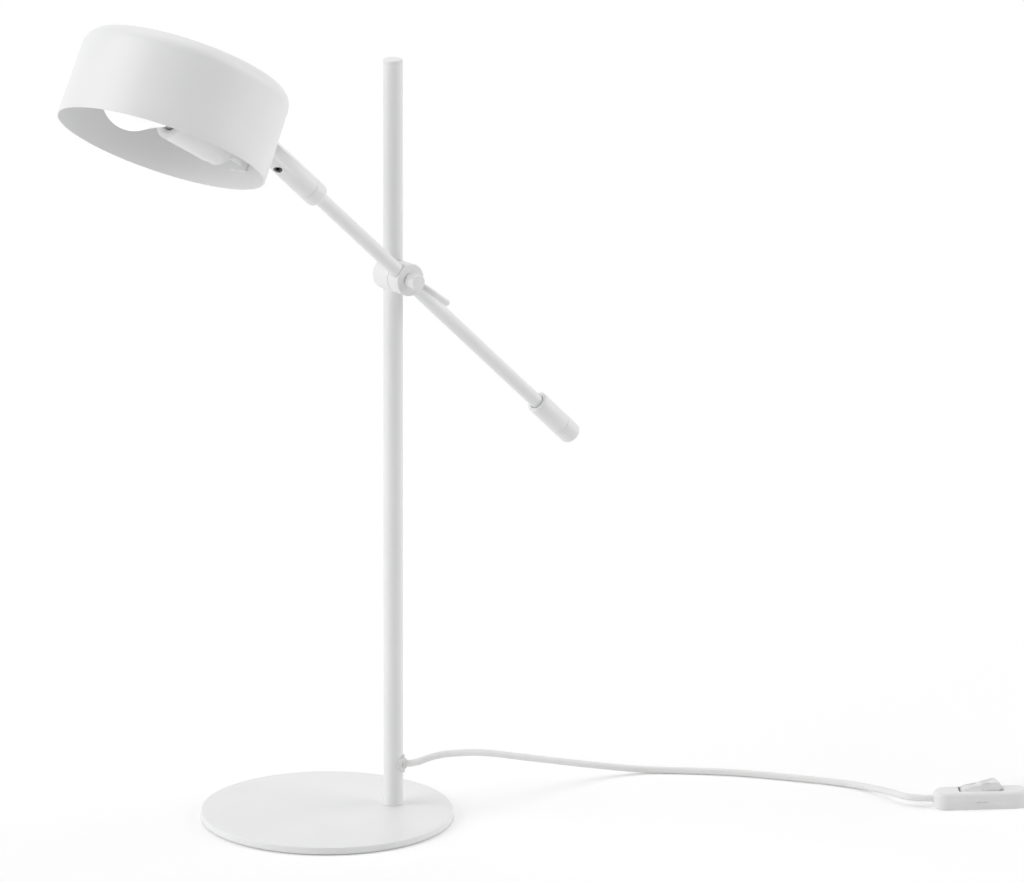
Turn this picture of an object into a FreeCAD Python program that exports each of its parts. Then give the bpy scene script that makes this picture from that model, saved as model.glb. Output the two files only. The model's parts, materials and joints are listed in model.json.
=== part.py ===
import FreeCAD, Part
import math
import os

from FreeCAD import Placement, Rotation, Vector

# Counterweight balance desk lamp. Millimetres, +Z up. The origin is the centre of the base disc's
# underside, and +X runs from there to the pole. Angles are in degrees.

os.makedirs("parts", exist_ok=True)

# Fits and clearances
running_gap = 0.05       # radial, between a shaft and the hole that it turns in
snug_gap = 0.02          # radial, between pieces that are pressed, screwed or glued together
face_gap = 0.25          # between faces of pieces that move past each other

# Base
base_diameter = 180.0
base_thickness = 5.0
base_edge_round = 1.0
pad_thickness = 1.0
pad_inset = 4.0
foot_bolt_radius = 4.0
foot_bolt_head_radius = 6.8
foot_bolt_head_height = 2.6
foot_insert_height = 18.0

# Pole, and the mains lead that goes in near its foot
pole_offset = 48.7
pole_diameter = 14.0
pole_wall = 1.0
pole_top_height = 552.0
pole_cap_height = 2.0
grommet_height = 36.4
grommet_heading = -24.0
grommet_flange_radius = 6.4
lead_diameter = 5.0
lead_bend_radius = 6.5
lead_strip_height = 70.0
splice_length = 18.0
inner_lead_diameter = 3.2

# Clamp on the pole: a lying cylinder, its rear half on the pole and its front half on the arm
clamp_height = 396.2
clamp_heading = 22.7     # from +X to the counterweight's side of the arm
clamp_diameter = 23.0
clamp_back = 8.8         # from the pole's axis to the rear face
clamp_split = 8.6        # from the pole's axis forward to the split between the halves
clamp_wall = 2.1
friction_ring_thickness = 0.4
arm_block_length = 11.4
pivot_bolt_radius = 2.5
pivot_head_across_flats = 8.0
pivot_head_height = 3.0
clamp_cap_thickness = 1.6
lead_slot_radius = 6.9
lead_slot_width = 4.2
swing_travel = 155.0

# Arm: tube to the head, rod to the counterweight, both through the clamp's axis
arm_rise = 42.9          # of the arm above the horizontal
arm_diameter = 10.0
arm_tube_wall = 1.0
arm_socket_radius = 6.0  # from the clamp's axis to where both rods start
arm_down_travel = 66.0
arm_up_travel = 20.0
weight_start = 160.2     # along the rod from the clamp's axis
weight_body_length = 28.5
weight_cap_length = 16.0
weight_diameter = 16.0
weight_end_round = 4.0
weight_mouth_gap = 0.45  # round the rod where it goes into the counterweight

# Neck at the head end of the arm
collar_start = 104.7
collar_length = 11.6
neck_diameter = 17.5
neck_wall = 1.6
lock_hole_station = 150.4  # along the arm, of the hole for the barrel's lock screw
lock_hole_side = 23.0    # of the hole, round from the barrel's underside to the front
lock_hole_radius = 3.2
neck_swivel = 9.4        # of the head about the arm, from upright
hinge_distance = 170.2   # along the arm from the clamp's axis
fork_slot_depth = 10.0
fork_slot_width = 5.3
hinge_pin_radius = 2.0

# Shade, lampholder and bulb
shade_tilt = 11.6        # from square to the arm
shade_rim_diameter = 150.0
shade_top_diameter = 148.8
shade_height = 65.0
shade_edge_round = 12.0
shade_wall = 1.0
hinge_to_shade = 11.8
hinge_above_rim = 38.4
bulb_above_rim = 22.3
bulb_diameter = 45.0
bulb_length = 78.0
bulb_centre_past_axis = 37.0
bulb_cap_radius = 7.0
bulb_cap_length = 23.0
holder_radius = 14.2

# Rocker switch on the lead
switch_start = Vector(424.4, -88.0, 6.3)
switch_heading = -9.6
switch_length = 69.0
switch_width = 20.0
switch_height = 12.6
switch_edge_round = 4.0
rocker_length = 31.0
rocker_width = 11.0
rocker_top = 16.0        # of the level rocker's middle, above the table
rocker_dip = 4.0         # slope of its two halves towards the middle
rocker_angle = 13.0      # each way from level

# Put-away coil of lead, and the plug
coil_start_radius = 38.2
coil_pitch = 5.5
coil_layer_turns = 3.0
coil_exit_turns = 2.75
coil_rest_height = 0.5   # of the lowest turns above the table, for the tie under them
plug_length = 36.0
plug_thickness = 14.0
plug_pin_spacing = 18.6
plug_pin_radius = 2.0
plug_pin_length = 19.0
relief_length = 24.0

X, Y, Z = Vector(1, 0, 0), Vector(0, 1, 0), Vector(0, 0, 1)
FRONT = Vector(0, -1, 0)

pole_radius = pole_diameter / 2
pole_bore = pole_radius - pole_wall
lead_radius = lead_diameter / 2
inner_lead_radius = inner_lead_diameter / 2
clamp_radius = clamp_diameter / 2
arm_radius = arm_diameter / 2
arm_bore = arm_radius - arm_tube_wall
neck_radius = neck_diameter / 2
weight_radius = weight_diameter / 2
base_top = pad_thickness + base_thickness
block_back = clamp_split + friction_ring_thickness + 0.1
block_front = block_back + arm_block_length
arm_offset = (block_back + block_front) / 2
collar_end = collar_start + collar_length
weight_seam = weight_start + weight_body_length
weight_end = weight_seam + weight_cap_length

# Frames of the moving groups. Clamp: origin on the pole's axis, +X to the counterweight's side, -Y to
# the lever. Arm: +X along the rod to the counterweight. Neck: the arm's frame turned about its X.
# Head: origin on the hinge, +Z along the shade's axis.
clamp_frame = Placement(Vector(pole_offset, 0, clamp_height), Rotation(Z, clamp_heading))
arm_frame = clamp_frame.multiply(Placement(FRONT * arm_offset, Rotation(Y, arm_rise)))
neck_frame = arm_frame.multiply(Placement(Vector(), Rotation(X, -neck_swivel)))
head_frame = neck_frame.multiply(Placement(X * -hinge_distance, Rotation(Y, -shade_tilt)))
pole_frame = Placement(Vector(pole_offset, 0, 0), Rotation())
grommet_frame = Placement(Vector(pole_offset, 0, grommet_height), Rotation(Z, grommet_heading))
switch_frame = Placement(Vector(switch_start.x, switch_start.y, 0), Rotation(Z, switch_heading))


def cylinder(radius, start, direction, length):
    return Part.makeCylinder(radius, length, start, direction)


def tube(outer, inner, start, direction, length):
    return cylinder(outer, start, direction, length).cut(cylinder(inner, start, direction, length))


def box(x0, x1, y0, y1, z0, z1):
    return Part.makeBox(x1 - x0, y1 - y0, z1 - z0, Vector(x0, y0, z0))


def hexagon(across_flats, start, direction, height):
    """A six-sided prism that starts with its face square to direction."""
    radius = across_flats / math.sqrt(3)
    turn = Rotation(Z, direction)
    corners = [turn.multVec(Vector(radius, 0, 0)) + start]
    for k in range(1, 7):
        angle = math.radians(60 * k)
        corners.append(turn.multVec(Vector(radius * math.cos(angle), radius * math.sin(angle), 0)) + start)
    corners[-1] = corners[0]
    return Part.Face(Part.makePolygon(corners)).extrude(direction * height)


def turned(points, start=Vector(), direction=Z):
    """A solid turned from an outline of (radius, height) points about direction."""
    outline = [Vector(r, 0, h) for r, h in points]
    solid = Part.Face(Part.makePolygon(outline + [outline[0]])).revolve(Vector(), Z, 360)
    solid.Placement = Placement(start, Rotation(Z, direction))
    return solid


def round_circles(solid, radius, round_by, centre_test):
    """Rounds the circular edges of the given radius whose centre passes the test."""
    edges = [e for e in solid.Edges
             if isinstance(e.Curve, Part.Circle) and abs(e.Curve.Radius - radius) < 1e-3
             and centre_test(e.Curve.Center)]
    return solid.makeFillet(round_by, edges)


def save(name, shape, frame=Placement()):
    """Writes one piece, or a group of like pieces, in the lamp's frame."""
    shape = shape.copy()
    shape.Placement = frame.multiply(shape.Placement)
    if not shape.isValid() or not shape.Solids:
        raise ValueError(name + " is not a valid solid")
    shape = shape.Solids[0] if len(shape.Solids) == 1 else Part.makeCompound(shape.Solids)
    shape.exportStep("parts/" + name + ".step")
    print(f"{name:24s} {len(shape.Solids)} solid(s) {shape.Volume:12.1f} mm3")
    return shape


def arc_route(points, least_radius=0.0):
    """Straight runs joined by tangent arcs, each as large as its two runs allow."""
    edges, here, radii = [], points[0], []
    for k in range(1, len(points) - 1):
        before, corner, after = points[k - 1], points[k], points[k + 1]
        run_in, run_out = corner - before, after - corner
        half_turn = run_in.getAngle(run_out) / 2
        set_back = 0.45 * min(run_in.Length, run_out.Length)
        radius = set_back / math.tan(half_turn)
        radii.append(radius)
        u, v = run_in.normalize(), run_out.normalize()
        start, end = corner - u * set_back, corner + v * set_back
        inward = (v - u).normalize()
        middle = corner + inward * (radius / math.cos(half_turn) - radius)
        edges.append(Part.LineSegment(here, start).toShape())
        edges.append(Part.Arc(start, middle, end).toShape())
        here = end
    edges.append(Part.LineSegment(here, points[-1]).toShape())
    if least_radius and min(radii) < least_radius:
        print("  tighter than wanted:", round(min(radii), 1))
    return Part.Wire(edges), radii


def sweep(name, wire, radius, start_direction):
    """A round tube along a route; prints its volume against its section times its length."""
    section = Part.Wire(Part.makeCircle(radius, wire.Edges[0].valueAt(wire.Edges[0].FirstParameter),
                                        start_direction))
    solid = wire.makePipeShell([section], True, False)
    expected = math.pi * radius ** 2 * wire.Length
    print(f"  {name}: length {wire.Length:.1f}, volume {solid.Volume:.1f} against {expected:.1f}")
    return solid


def lead_tube(name, points, radius):
    wire, radii = arc_route(points)
    print("  radii:", " ".join(f"{r:.1f}" for r in radii))
    return sweep(name, wire, radius, points[1] - points[0])


# Base

def make_base():
    plate = cylinder(base_diameter / 2, Z * pad_thickness, Z, base_thickness)
    plate = round_circles(plate, base_diameter / 2, base_edge_round, lambda c: c.z > pad_thickness + 0.1)
    hole_at = Vector(pole_offset, 0, 0)
    head_top = pad_thickness + foot_bolt_head_height + 0.3
    plate = plate.cut(cylinder(foot_bolt_radius + 0.2, hole_at, Z, base_top + 1))
    plate = plate.cut(cylinder(foot_bolt_head_radius + 0.4, hole_at, Z, head_top))
    save("base_plate", plate)
    save("base_pad", cylinder(base_diameter / 2 - pad_inset, Vector(), Z, pad_thickness))

    bolt = cylinder(foot_bolt_head_radius, Z * (head_top - foot_bolt_head_height), Z, foot_bolt_head_height)
    bolt = bolt.fuse(cylinder(foot_bolt_radius, Z * head_top, Z, base_top + foot_insert_height - 4 - head_top))
    bolt = bolt.cut(hexagon(5.0, Z * (head_top - foot_bolt_head_height), Z, 1.6))
    save("foot_bolt", bolt, pole_frame)

    insert = tube(pole_bore - snug_gap, foot_bolt_radius + snug_gap, Z * base_top, Z, foot_insert_height)
    save("pole_foot_insert", insert, pole_frame)


# Pole

stub_drop = 9.7          # from the clamp's axis down to the top of the lower tube
stub_top_drop = 4.6      # and to the top of the swivel stub
groove_low, groove_high = 7.6, 5.8
groove_radius = 5.7
stop_web_angle = 24.0


def make_lower_pole():
    height = clamp_height - stub_drop - base_top
    pipe = tube(pole_radius, pole_bore, Z * base_top, Z, height)
    hole = cylinder(grommet_neck_radius + snug_gap, Vector(), X, pole_radius + 1)
    hole.Placement = Placement(Z * grommet_height, Rotation(Z, grommet_heading))
    save("lower_pole_tube", pipe.cut(hole), pole_frame)


grommet_neck_radius = 3.9
grommet_nose = 2.3


def make_grommet():
    """A rubber saddle on the tube with a neck through its wall and a nose round the lead."""
    flange = cylinder(grommet_flange_radius, Vector(), X, pole_radius + 5)
    flange = flange.common(tube(pole_radius + 1.3, pole_radius + snug_gap, Z * -20, Z, 40))
    neck = cylinder(grommet_neck_radius, X * (pole_bore - 0.8), X, pole_wall + 1.5)
    lip = cylinder(grommet_neck_radius + 0.9, Vector(), X, pole_radius)
    lip = lip.common(tube(pole_bore - snug_gap, pole_bore - 1.0, Z * -20, Z, 40))
    nose = Part.makeCone(grommet_neck_radius + 0.6, lead_radius + 0.9, grommet_nose, X * (pole_radius + 0.3), X)
    grommet = flange.fuse([neck, lip, nose]).removeSplitter()
    grommet = grommet.cut(cylinder(lead_radius + snug_gap, Vector(), X, pole_radius + 10))
    save("cord_grommet", grommet, grommet_frame)


lead_exit = pole_radius + 0.3 + grommet_nose
lead_side = -2.5         # the lead runs up the pole's far wall
axis_join_height = 140.0


def make_leads_in_pole():
    """The mains lead from the grommet up to its splice, then the thin inner lead up to the clamp."""
    rise = lead_strip_height - grommet_height
    bend_from = lead_side + lead_bend_radius
    start = Vector(lead_exit, 0, 0)
    low = Vector(bend_from, 0, 0)
    turn = math.sin(math.radians(45)) * lead_bend_radius
    middle = Vector(bend_from - turn, 0, lead_bend_radius - turn)
    high = Vector(lead_side, 0, lead_bend_radius)
    top = Vector(lead_side, 0, rise)
    wire = Part.Wire([Part.LineSegment(start, low).toShape(), Part.Arc(low, middle, high).toShape(),
                      Part.LineSegment(high, top).toShape()])
    save("lead_in_pole", sweep("lead_in_pole", wire, lead_radius, start - low), grommet_frame)

    anchor = tube(lead_radius + 0.9, lead_radius + snug_gap, Vector(lead_side, 0, rise - 14), Z, 4)
    save("cord_anchor_tie", anchor, grommet_frame)
    splice = cylinder(pole_bore + lead_side - 0.1, Vector(lead_side, 0, rise), Z, splice_length)
    save("lead_splice", splice, grommet_frame)

    low = rise + splice_length
    high = clamp_height - stub_top_drop + 1.6 - grommet_height
    join = axis_join_height - grommet_height
    points = [Vector(lead_side, 0, low), Vector(lead_side, 0, low + 15),
              Vector(0, 0, join), Vector(0, 0, high)]
    save("inner_lead_pole", lead_tube("inner_lead_pole", points, inner_lead_radius), grommet_frame)


def make_swivel_stub():
    """Plug in the top of the lower tube. Its groove lets the clamp turn until the dog meets the web."""
    lower = cylinder(pole_bore - snug_gap, Z * (-stub_drop - 14), Z, 14)
    upper = cylinder(pole_radius, Z * -stub_drop, Z, stub_drop - stub_top_drop)
    groove = tube(pole_radius + 1, groove_radius, Z * -groove_low, Z, groove_low - groove_high)
    web = Part.makeCylinder(pole_radius + 2, groove_low - groove_high, Z * -groove_low, Z, stop_web_angle)
    web.rotate(Vector(), Z, 180 - stop_web_angle / 2)
    stub = lower.fuse(upper).cut(groove.cut(web))
    stub = stub.cut(cylinder(inner_lead_radius + 0.6, Z * (-stub_drop - 20), Z, 30))
    save("swivel_stub", stub, clamp_frame)


# Clamp

cavity_radius = clamp_radius - 2.5
cavity_front = clamp_split - clamp_wall
bore_reach = 4.0         # how near the lower pole bore comes to the clamp's axis
upper_bore_reach = 5.6
stop_screw_drop = (groove_low + groove_high) / 2
upper_screw_rise = 7.1
screw_radius = 1.25


def kidney(radius, width, start_angle, end_angle, depth_from, depth_to):
    """A curved slot about the clamp's axis, cut along Y. Angles run from +X towards +Z."""
    length = depth_to - depth_from
    ring = tube(radius + width / 2, radius - width / 2, Vector(), Z, length)
    wedge = Part.makeCylinder(radius + width, length, Vector(), Z, end_angle - start_angle)
    wedge.rotate(Vector(), Z, start_angle)
    slot = ring.common(wedge)
    for angle in (start_angle, end_angle):
        a = math.radians(angle)
        slot = slot.fuse(cylinder(width / 2, Vector(radius * math.cos(a), radius * math.sin(a), 0), Z, length))
    slot.Placement = Placement(Y * depth_to, Rotation(X, 90))
    return slot


def make_clamp_housing():
    body = cylinder(clamp_radius, Y * -clamp_split, Y, clamp_split + clamp_back)
    body = round_circles(body, clamp_radius, 0.6, lambda c: c.y > 0)
    body = body.cut(cylinder(cavity_radius, Y * -cavity_front, Y, cavity_front + clamp_back + 1))
    body = body.cut(cylinder(pole_radius + running_gap, Z * (-clamp_radius - 1), Z, clamp_radius + 1 - bore_reach))
    body = body.cut(cylinder(pole_radius + snug_gap, Z * upper_bore_reach, Z, clamp_radius))
    body = body.cut(cylinder(pivot_bolt_radius + snug_gap, Y * (-clamp_split - 1), Y, clamp_wall + 2))
    rest = 180 - arm_rise
    slot = kidney(lead_slot_radius, lead_slot_width, rest - arm_up_travel - 3, rest + arm_down_travel + 3,
                  -clamp_split - 1, -cavity_front + 1)
    body = body.cut(slot)
    for height in (-stop_screw_drop, upper_screw_rise):
        body = body.cut(cylinder(screw_radius + snug_gap, Vector(pole_radius - 1.5, 0, height), X, 8))
    save("clamp_housing", body, clamp_frame)

    cap = cylinder(cavity_radius - snug_gap, Y * (clamp_back - clamp_cap_thickness), Y, clamp_cap_thickness)
    cap = round_circles(cap, cavity_radius - snug_gap, 0.3, lambda c: c.y > clamp_back - 0.1)
    save("clamp_back_cap", cap, clamp_frame)


dog_radius = 0.7
grub_head = 1.0          # how far a grub screw's head stands off the pole


def grub_screw(tip, head, dog_length=0.0):
    """A headless screw along X from tip to head, with a hexagon socket and an optional dog point."""
    screw = cylinder(screw_radius, X * (tip + dog_length), X, head - tip - dog_length)
    if dog_length:
        screw = screw.fuse(cylinder(dog_radius, X * tip, X, dog_length + 0.1))
    return screw.cut(hexagon(1.3, X * (head - 0.7), X, 1.5))


def make_clamp_screws():
    stop = grub_screw(groove_radius + 0.2, pole_radius + grub_head, pole_radius - groove_radius)
    stop.translate(Z * -stop_screw_drop)
    save("swing_stop_screw", stop, clamp_frame)
    upper = grub_screw(pole_radius, pole_radius + grub_head)
    upper.translate(Z * upper_screw_rise)
    save("upper_tube_screw", upper, clamp_frame)


def make_upper_pole():
    top = pole_top_height - clamp_height - pole_cap_height
    start = upper_bore_reach + 0.1
    save("upper_pole_tube", tube(pole_radius, pole_bore, Z * start, Z, top - start), clamp_frame)
    cap = cylinder(pole_radius, Z * top, Z, pole_cap_height)
    cap = round_circles(cap, pole_radius, 1.2, lambda c: c.z > top + 0.1)
    cap = cap.fuse(cylinder(pole_bore - snug_gap, Z * (top - 8), Z, 8))
    save("pole_top_cap", cap, clamp_frame)


hub_gap = 0.3
hub_length = 9.4


def make_pivot_bolt():
    seat = Y * -cavity_front
    tip = block_front + hub_gap + hub_length - 2.0
    bolt = hexagon(pivot_head_across_flats, seat, Y, pivot_head_height)
    bolt = bolt.fuse(cylinder(pivot_bolt_radius, seat, FRONT, tip - cavity_front))
    save("pivot_bolt", bolt, clamp_frame)


def make_clamp_lead():
    """The inner lead from the pole's axis, round inside the clamp, to the slot in its front wall."""
    side = -lead_slot_radius * math.cos(math.radians(arm_rise))
    top = upper_bore_reach - inner_lead_radius - 0.2
    points = [Vector(0, 0, -stub_top_drop + 1.9), Vector(0, 0.4, 0.4), Vector(-2.0, 4.6, 2.4),
              Vector(side, 3.8, top), Vector(side, -cavity_front + 3.6, top)]
    save("inner_lead_clamp", lead_tube("inner_lead_clamp", points, inner_lead_radius), clamp_frame)


# Lever

hub_radius = 5.4
lever_radius = 2.5
lever_length = 34.0
lever_drop = 35.7        # of the lever below the horizontal
lever_depth = 6.2        # of its axis in front of the hub's rear face


def make_lever():
    back = block_front + hub_gap
    hub = cylinder(hub_radius, Y * -back, FRONT, hub_length)
    hub = round_circles(hub, hub_radius, 0.7, lambda c: c.y < -back - 1)
    hub = hub.cut(cylinder(pivot_bolt_radius + running_gap, Y * -back, FRONT, hub_length - 1.6))
    seat = Vector(0, -back - lever_depth, 0)
    along = Rotation(Y, lever_drop).multVec(X)
    hub = hub.cut(cylinder(lever_radius + snug_gap, seat + along * (pivot_bolt_radius + 0.6), along, 10))
    save("lever_hub", hub, clamp_frame)
    start = seat + along * (pivot_bolt_radius + 0.6)
    bar = cylinder(lever_radius, start, along, lever_length - pivot_bolt_radius - 0.6)
    end = seat + along * lever_length
    bar = round_circles(bar, lever_radius, 0.7, lambda c: (c - end).Length < 0.1)
    save("lever_bar", bar, clamp_frame)


# Arm, in a frame whose X is the rod and whose Y is the clamp's axis

def make_arm_block():
    """Front half of the clamp. Modelled in the arm's frame, so its axis crosses both rods."""
    back, front = arm_offset - block_back, arm_offset - block_front
    body = cylinder(clamp_radius, Y * front, Y, back - front)
    body = round_circles(body, clamp_radius, 0.5, lambda c: c.y < 0)
    body = body.cut(cylinder(pivot_bolt_radius + running_gap, Y * (front - 1), Y, back - front + 2))
    for side in (-X, X):
        body = body.cut(cylinder(arm_radius + snug_gap, side * arm_socket_radius, side, clamp_radius))
    body = body.cut(cylinder(lead_slot_width / 2, X * -lead_slot_radius, Y, back + 1))
    save("arm_block", body, arm_frame)
    ring = tube(clamp_radius - 0.3, lead_slot_radius + lead_slot_width / 2 + 0.2, Y * back, Y,
                friction_ring_thickness)
    save("friction_ring", ring, arm_frame)


def make_arm_rods():
    pipe = tube(arm_radius, arm_bore, X * -arm_socket_radius, -X, collar_end - 3 - arm_socket_radius)
    pipe = pipe.cut(cylinder(lead_slot_width / 2, X * -lead_slot_radius, Y, arm_offset))
    save("arm_tube", pipe, arm_frame)
    rod = cylinder(arm_radius, X * arm_socket_radius, X, weight_start + 16 - arm_socket_radius)
    save("counterweight_rod", rod, arm_frame)


def make_arm_lead():
    """The inner lead from the clamp's slot into the tube and up to the neck's slot."""
    start = Vector(-lead_slot_radius, arm_offset - pole_radius - 0.1, 0)
    corner = Vector(-lead_slot_radius - 1.0, 0.6, 0)
    points = [start, Vector(-lead_slot_radius, 3.6, 0), corner, Vector(-lead_slot_radius - 6, 0, 0),
              X * -lead_break]
    save("inner_lead_arm", lead_tube("inner_lead_arm", points, inner_lead_radius), arm_frame)


set_screw_stations = (weight_start + 9, -collar_start - 5.5)


def make_counterweight():
    rod_hole = cylinder(arm_radius + snug_gap, X * (weight_start - 1), X, 17)
    mouth = cylinder(arm_radius + weight_mouth_gap, X * (weight_start - 1), X, 4)
    body = cylinder(weight_radius, X * weight_start, X, weight_body_length)
    body = round_circles(body, weight_radius, 0.5, lambda c: True)
    body = body.cut(rod_hole.fuse(mouth))
    body = body.cut(cylinder(4.0 + snug_gap, X * (weight_seam - 9), X, 10))
    body = body.cut(cylinder(screw_radius + snug_gap, X * set_screw_stations[0], -Z, weight_radius + 1))
    save("counterweight_body", body, arm_frame)

    cap = cylinder(weight_radius, X * weight_seam, X, weight_cap_length)
    cap = round_circles(cap, weight_radius, weight_end_round, lambda c: c.x > weight_seam + 1)
    cap = round_circles(cap, weight_radius, 0.5, lambda c: c.x < weight_seam + 1)
    cap = cap.fuse(cylinder(4.0, X * (weight_seam - 8), X, 9))
    save("counterweight_cap", cap, arm_frame)

    screws = []
    for station in set_screw_stations:
        screw = grub_screw(arm_radius, weight_radius - 0.4)
        screw.Placement = Placement(X * station, Rotation(Y, 90))
        screws.append(screw)
    save("arm_set_screws", Part.makeCompound(screws), arm_frame)


# Neck

nipple_radius = arm_bore - 0.04
lead_break = 138.0       # along the arm, where its inner lead meets the neck's
nipple_reach = 7.4       # past the seam between collar and barrel
barrel_wall_end = 3.4
barrel_cavity_length = 40.0


def make_collar():
    body = cylinder(neck_radius, X * -collar_end, X, collar_length)
    body = round_circles(body, neck_radius, 2.6, lambda c: c.x > -collar_end + 1)
    body = body.cut(cylinder(arm_radius + snug_gap, X * (3 - collar_end), X, collar_length + 1))
    body = body.cut(cylinder(nipple_radius + snug_gap, X * (-collar_end - 1), X, 5))
    body = body.cut(cylinder(screw_radius + snug_gap, X * set_screw_stations[1], -Z, neck_radius + 1))
    save("neck_collar", body, arm_frame)
    nipple = tube(nipple_radius, inner_lead_radius + 0.6, X * -(collar_end + nipple_reach), X, nipple_reach + 14)
    save("neck_nipple", nipple, arm_frame)
    nut_back = collar_end + face_gap + barrel_wall_end + face_gap
    nut = hexagon(10.0, X * -nut_back, -X, 3.0).cut(cylinder(nipple_radius + snug_gap, X * -(nut_back + 4), X, 8))
    save("neck_nipple_nut", nut, arm_frame)


fork_end_radius = hinge_to_shade - 2.2
cheek_recess = 3.0


def make_neck_barrel():
    """Hollow barrel that turns about the arm, with a fork for the shade's lug at its far end."""
    back = collar_end + face_gap
    body = cylinder(neck_radius, X * -back, -X, hinge_distance + fork_end_radius - back)
    nose = cylinder(fork_end_radius, Vector(-hinge_distance, -20, 0), Y, 40)
    body = body.common(nose.fuse(box(-hinge_distance, 0, -20, 20, -20, 20)))
    cavity_from = back + barrel_wall_end
    body = body.cut(cylinder(neck_radius - neck_wall, X * -cavity_from, -X, barrel_cavity_length))
    body = body.cut(cylinder(nipple_radius + running_gap, Vector(), -X, cavity_from + 1))
    slot_from = hinge_distance - fork_slot_depth
    half = fork_slot_width / 2
    body = body.cut(box(-hinge_distance - 20, -slot_from, -half, half, -20, 20))
    lead_hole = cylinder(inner_lead_radius + 0.4, Vector(-cavity_from, 0, lug_lead_height), -X, 60)
    body = body.cut(lead_hole)
    side = math.radians(lock_hole_side)
    outward = Vector(0, -math.sin(side), -math.cos(side))
    body = body.cut(cylinder(lock_hole_radius, X * -lock_hole_station, outward, neck_radius + 1))
    body = body.cut(cylinder(hinge_pin_radius + snug_gap, Vector(-hinge_distance, -20, 0), Y, 40))
    for side in (-1, 1):
        seat = Vector(-hinge_distance, side * (neck_radius - cheek_recess), 0)
        body = body.cut(cylinder(hinge_head_radius + 0.2, seat, Y * side, 10))
    save("neck_barrel", body, neck_frame)


hinge_head_radius = 3.9
lug_radius = 6.6
lug_lead_height = 4.3
lug_thickness = fork_slot_width - 0.4


def make_hinge_screw():
    seat = neck_radius - cheek_recess
    at = X * -hinge_distance
    screw = cylinder(hinge_head_radius - 0.3, at + FRONT * seat, FRONT, 2.2)
    screw = screw.cut(hexagon(2.5, at + FRONT * (seat + 1.0), FRONT, 2.0))
    screw = screw.fuse(cylinder(hinge_pin_radius, at + FRONT * seat, Y, 2 * seat + 2.0))
    save("hinge_screw", screw, neck_frame)
    nut = hexagon(6.4, at + Y * seat, Y, 2.2).cut(cylinder(hinge_pin_radius + snug_gap, at, Y, 20))
    save("hinge_nut", nut, neck_frame)


def make_neck_lead():
    """The inner lead through the barrel, off its axis at the far end to miss the hinge screw."""
    start = lead_break + 0.3
    end = hinge_distance - fork_slot_depth + 0.2
    points = [X * -start, X * -(start + 5), Vector(-(start + 14), 0, lug_lead_height),
              Vector(-end, 0, lug_lead_height)]
    save("inner_lead_neck", lead_tube("inner_lead_neck", points, inner_lead_radius), neck_frame)


# Head, in a frame on the hinge whose Z is the shade's axis

rim_z = -hinge_above_rim
shade_rim_radius = shade_rim_diameter / 2
shade_top_radius = shade_top_diameter / 2
wall_radius = shade_rim_radius - (shade_rim_radius - shade_top_radius) * hinge_above_rim / shade_height
shade_axis = Vector(-hinge_to_shade - wall_radius, 0, rim_z)
inside_x = -hinge_to_shade - shade_wall


def shade_form(inset):
    """Closed drum of the shade's outer shape, drawn in by inset on its side, edge and top."""
    height, top, rim = shade_height - inset, shade_top_radius - inset, shade_rim_radius - inset
    edge = shade_edge_round - inset
    corner = edge * (1 - math.sin(math.radians(45)))
    side = Part.LineSegment(Vector(rim, 0, 0), Vector(top, 0, height - edge))
    arc = Part.Arc(Vector(top, 0, height - edge), Vector(top - corner, 0, height - corner),
                   Vector(top - edge, 0, height))
    roof = Part.LineSegment(Vector(top - edge, 0, height), Vector(0, 0, height))
    lines = [side, arc, roof, Part.LineSegment(Vector(0, 0, height), Vector()),
             Part.LineSegment(Vector(), Vector(rim, 0, 0))]
    outline = Part.Wire([line.toShape() for line in lines])
    return Part.Face(outline).revolve(Vector(), Z, 360)


lug_screw_height = 8.6
lug_screw_radius = 1.5
bracket_thickness = 2.0


def make_shade():
    shell = shade_form(0).cut(shade_form(shade_wall))
    shell.translate(shade_axis)
    lead_hole = cylinder(inner_lead_radius + 0.6, Z * lug_lead_height, -X, hinge_to_shade + 10)
    shell = shell.cut(lead_hole)
    for side in (-1, 1):
        shell = shell.cut(cylinder(lug_screw_radius + 0.1, Z * side * lug_screw_height, -X, hinge_to_shade + 10))
    save("shade", shell, head_frame)


def make_hinge_lug():
    """Eye on the hinge screw, a web, and a foot that follows the shade's wall."""
    half = lug_thickness / 2
    eye = cylinder(lug_radius, Y * -half, Y, lug_thickness)
    web = box(-hinge_to_shade, 0, -half, half, -lug_radius, lug_radius)
    foot = box(-hinge_to_shade - 1, -hinge_to_shade + 1.5, -5.5, 5.5, -lug_screw_height - 3, lug_screw_height + 3)
    wall = shade_form(0)
    wall.translate(shade_axis)
    lug = eye.fuse([web, foot]).cut(wall)
    lug = lug.cut(cylinder(hinge_pin_radius + running_gap, Y * -10, Y, 20))
    lug = lug.cut(cylinder(inner_lead_radius + 0.3, Vector(lug_radius + 1, 0, lug_lead_height), -X, 30))
    for side in (-1, 1):
        lug = lug.cut(cylinder(lug_screw_radius + snug_gap, Z * side * lug_screw_height, -X, 20))
    save("shade_hinge_lug", lug.removeSplitter(), head_frame)


bulb_z = rim_z + bulb_above_rim
bracket_inner_x = inside_x - bracket_thickness


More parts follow.
